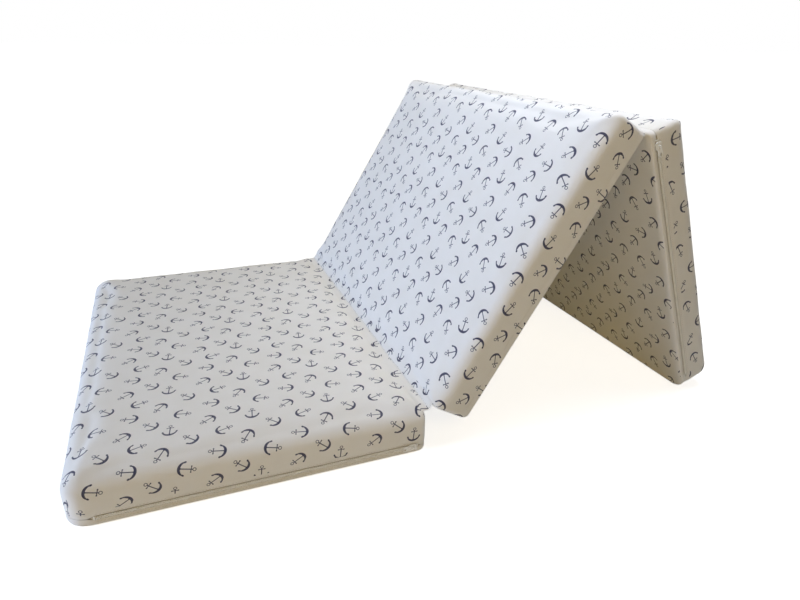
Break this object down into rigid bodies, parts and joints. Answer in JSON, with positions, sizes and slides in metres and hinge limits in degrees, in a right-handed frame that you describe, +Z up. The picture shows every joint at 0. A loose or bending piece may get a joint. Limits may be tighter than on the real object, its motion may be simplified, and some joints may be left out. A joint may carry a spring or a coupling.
{
  "type": "folding cot mattress",
  "caption": "Foam cot mattress in sections that fold in a zigzag on cloth hinges, each section in its own zipped, printed cotton cover.",
  "frame": {"origin": "middle of the first section's underside, on the floor", "axes": "+X from the first section towards the last one, across the folds; +Y along the folds, away from the side with the first section's zip; +Z up"},
  "size_m": [0.8548, 0.609, 0.3936],
  "materials": {
    "cover_cotton": "plain-woven cotton, off-white with a small navy print",
    "foam": "open-cell foam, cream",
    "zip_tape": "woven polyester tape, off-white",
    "zip_nylon": "white nylon",
    "zip_enamel": "gloss white enamel"
  },
  "bodies": {
    "first_section": {"first_foam_core": "foam", "first_cover_top": "cover_cotton", "first_cover_base": "cover_cotton", "first_zip_tape_upper": "zip_tape", "first_zip_tape_lower": "zip_tape", "first_zip_coil": "zip_nylon", "first_zip_top_stop": "zip_enamel", "first_zip_bottom_stop": "zip_enamel", "top_hinge_strip": "cover_cotton"},
    "middle_section": {"middle_foam_core": "foam", "middle_cover_top": "cover_cotton", "middle_cover_base": "cover_cotton", "middle_zip_tape_upper": "zip_tape", "middle_zip_tape_lower": "zip_tape", "middle_zip_coil": "zip_nylon", "middle_zip_top_stop": "zip_enamel", "middle_zip_bottom_stop": "zip_enamel", "base_hinge_strip": "cover_cotton"},
    "last_section": {"last_foam_core": "foam", "last_cover_top": "cover_cotton", "last_cover_base": "cover_cotton", "last_zip_tape_upper": "zip_tape", "last_zip_tape_lower": "zip_tape", "last_zip_coil": "zip_nylon", "last_zip_top_stop": "zip_enamel", "last_zip_bottom_stop": "zip_enamel"},
    "first_slider": {"first_zip_slider": "zip_enamel"},
    "first_pull": {"first_zip_pull": "zip_enamel"},
    "middle_slider": {"middle_zip_slider": "zip_enamel"},
    "middle_pull": {"middle_zip_pull": "zip_enamel"},
    "last_slider": {"last_zip_slider": "zip_enamel"},
    "last_pull": {"last_zip_pull": "zip_enamel"}
  },
  "joints": [
    {"name": "first_fold", "type": "hinge", "parent": "first_section", "child": "middle_section", "pos_m": [0.201, 0, 0.0603], "axis": [0, -1, 0], "range_deg": [-58.6, 121.4], "deforming": ["top_hinge_strip"]},
    {"name": "last_fold", "type": "hinge", "parent": "middle_section", "child": "last_section", "pos_m": [0.46217, 0, 0.37185], "axis": [0, 1, 0], "range_deg": [-127.35, 52.65], "deforming": ["base_hinge_strip"]},
    {"name": "first_zip", "type": "slide", "parent": "first_section", "child": "first_slider", "axis": [-1, 0, 0], "range_m": [0, 0.3438]},
    {"name": "first_pull_swing", "type": "hinge", "parent": "first_slider", "child": "first_pull", "pos_m": [0.1804, -0.3026, 0.01], "axis": [0, 0, 1], "range_deg": [0, 165]},
    {"name": "middle_zip", "type": "slide", "parent": "middle_section", "child": "middle_slider", "axis": [-0.521, 0, -0.8536], "range_m": [0, 0.3608]},
    {"name": "middle_pull_swing", "type": "hinge", "parent": "middle_slider", "child": "middle_pull", "pos_m": [0.44265, 0.3026, 0.35964], "axis": [0.8536, 0, -0.521], "range_deg": [0, 165]},
    {"name": "last_zip", "type": "slide", "parent": "last_section", "child": "last_slider", "axis": [0.3625, 0, -0.932], "range_m": [0, 0.3438]},
    {"name": "last_pull_swing", "type": "hinge", "parent": "last_slider", "child": "last_pull", "pos_m": [0.47924, -0.3026, 0.35639], "axis": [-0.932, 0, -0.3625], "range_deg": [0, 165]}
  ]
}
